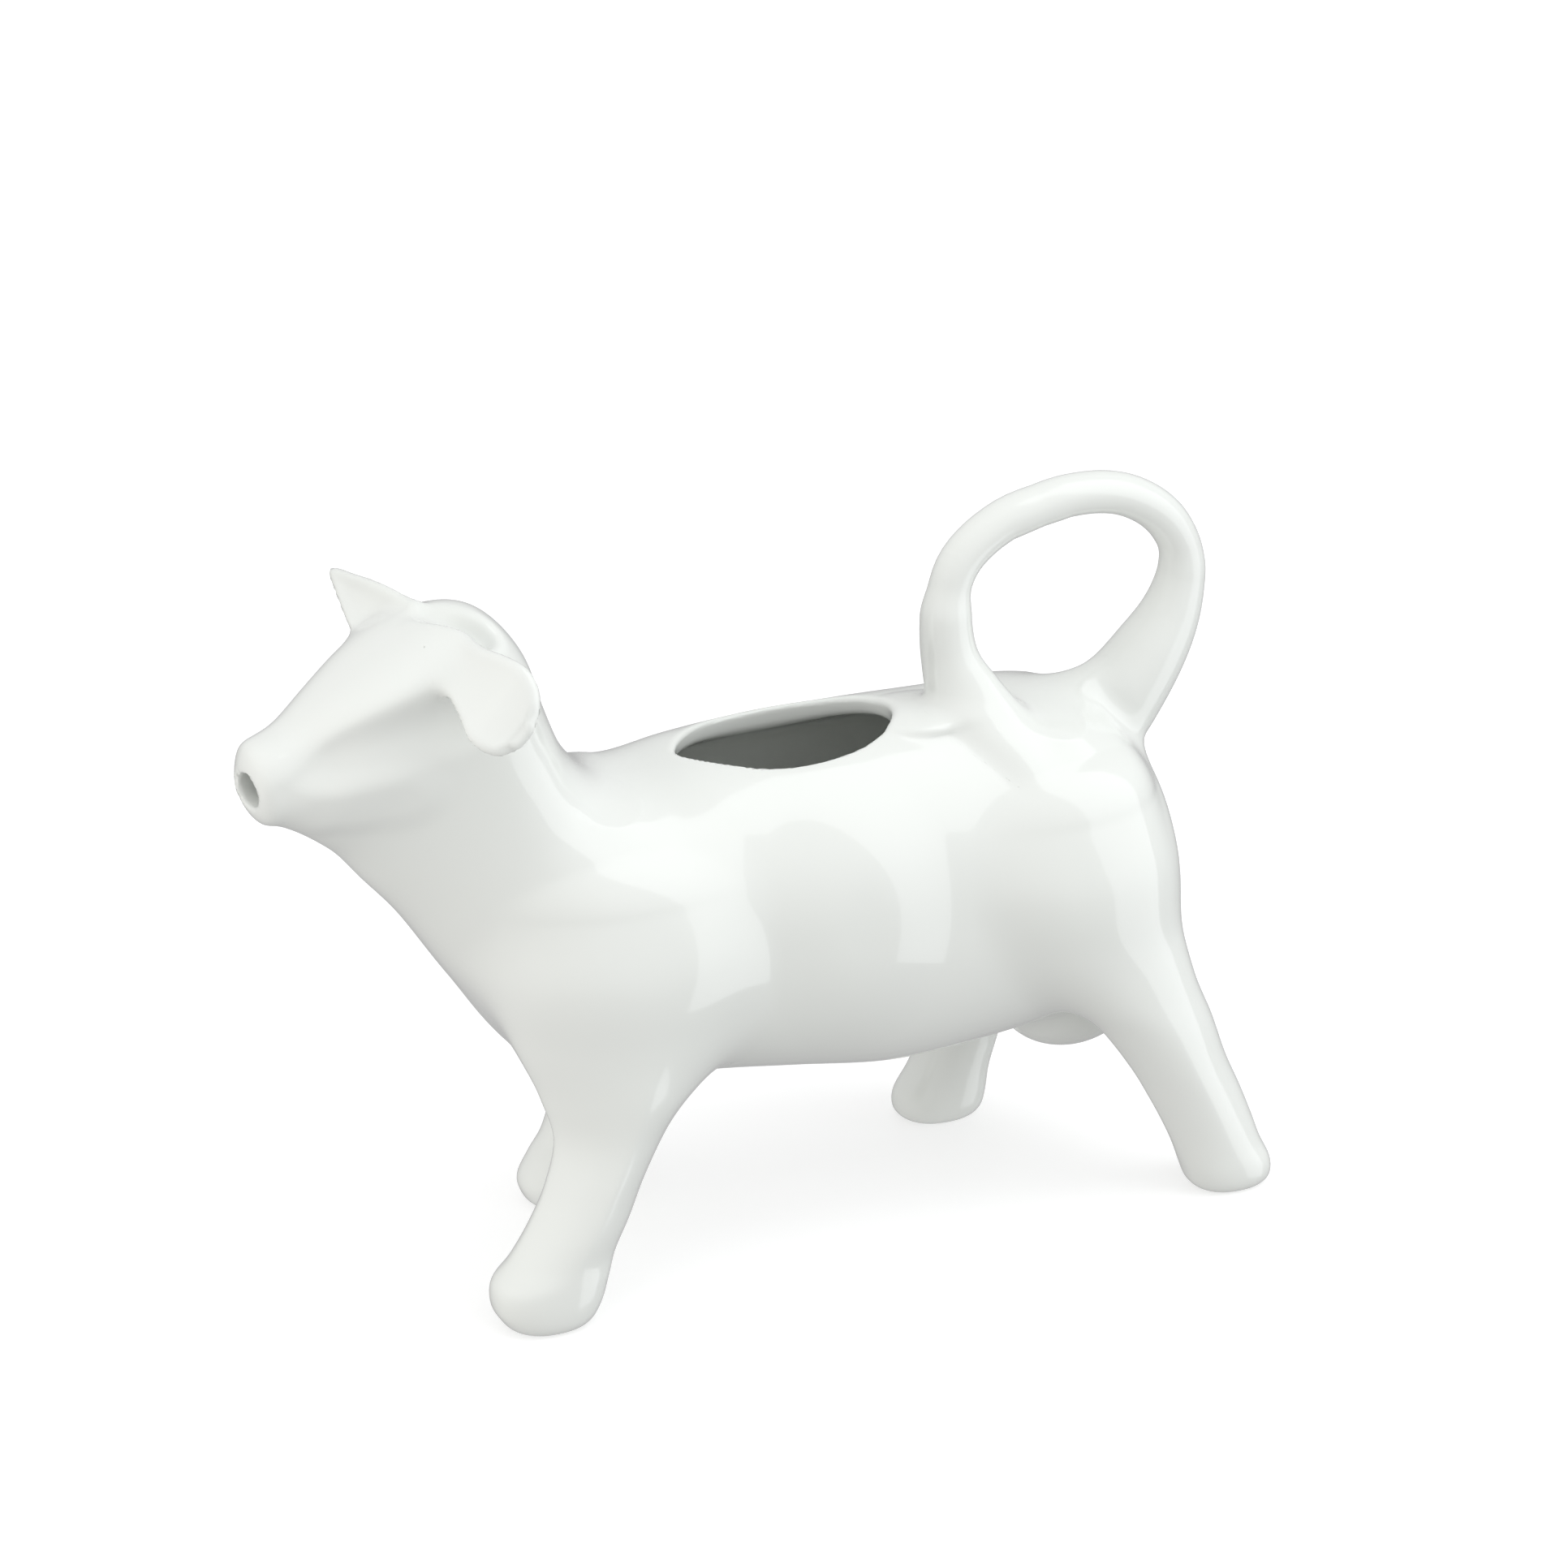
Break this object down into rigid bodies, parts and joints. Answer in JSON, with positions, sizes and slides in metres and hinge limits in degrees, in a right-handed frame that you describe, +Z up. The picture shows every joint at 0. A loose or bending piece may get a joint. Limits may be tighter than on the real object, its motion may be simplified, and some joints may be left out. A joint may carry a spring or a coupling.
{
  "type": "cow creamer",
  "caption": "Small glazed milk jug shaped as a walking cow, filled through an oval opening in its back, poured from the muzzle and held by its looped tail.",
  "frame": {"origin": "on the table plane, under the middle of the overall length and width", "axes": "-X towards the muzzle, -Y towards the cow's left flank, +Z up"},
  "size_m": [0.1627, 0.0538, 0.1143],
  "materials": {
    "white_glaze": "clear glossy glaze over white porcelain"
  },
  "bodies": {
    "root": {"body_shell": "white_glaze", "head_spout": "white_glaze", "left_ear": "white_glaze", "right_ear": "white_glaze", "front_left_leg": "white_glaze", "front_right_leg": "white_glaze", "rear_left_leg": "white_glaze", "rear_right_leg": "white_glaze", "tail_handle": "white_glaze", "udder": "white_glaze"}
  },
  "joints": []
}
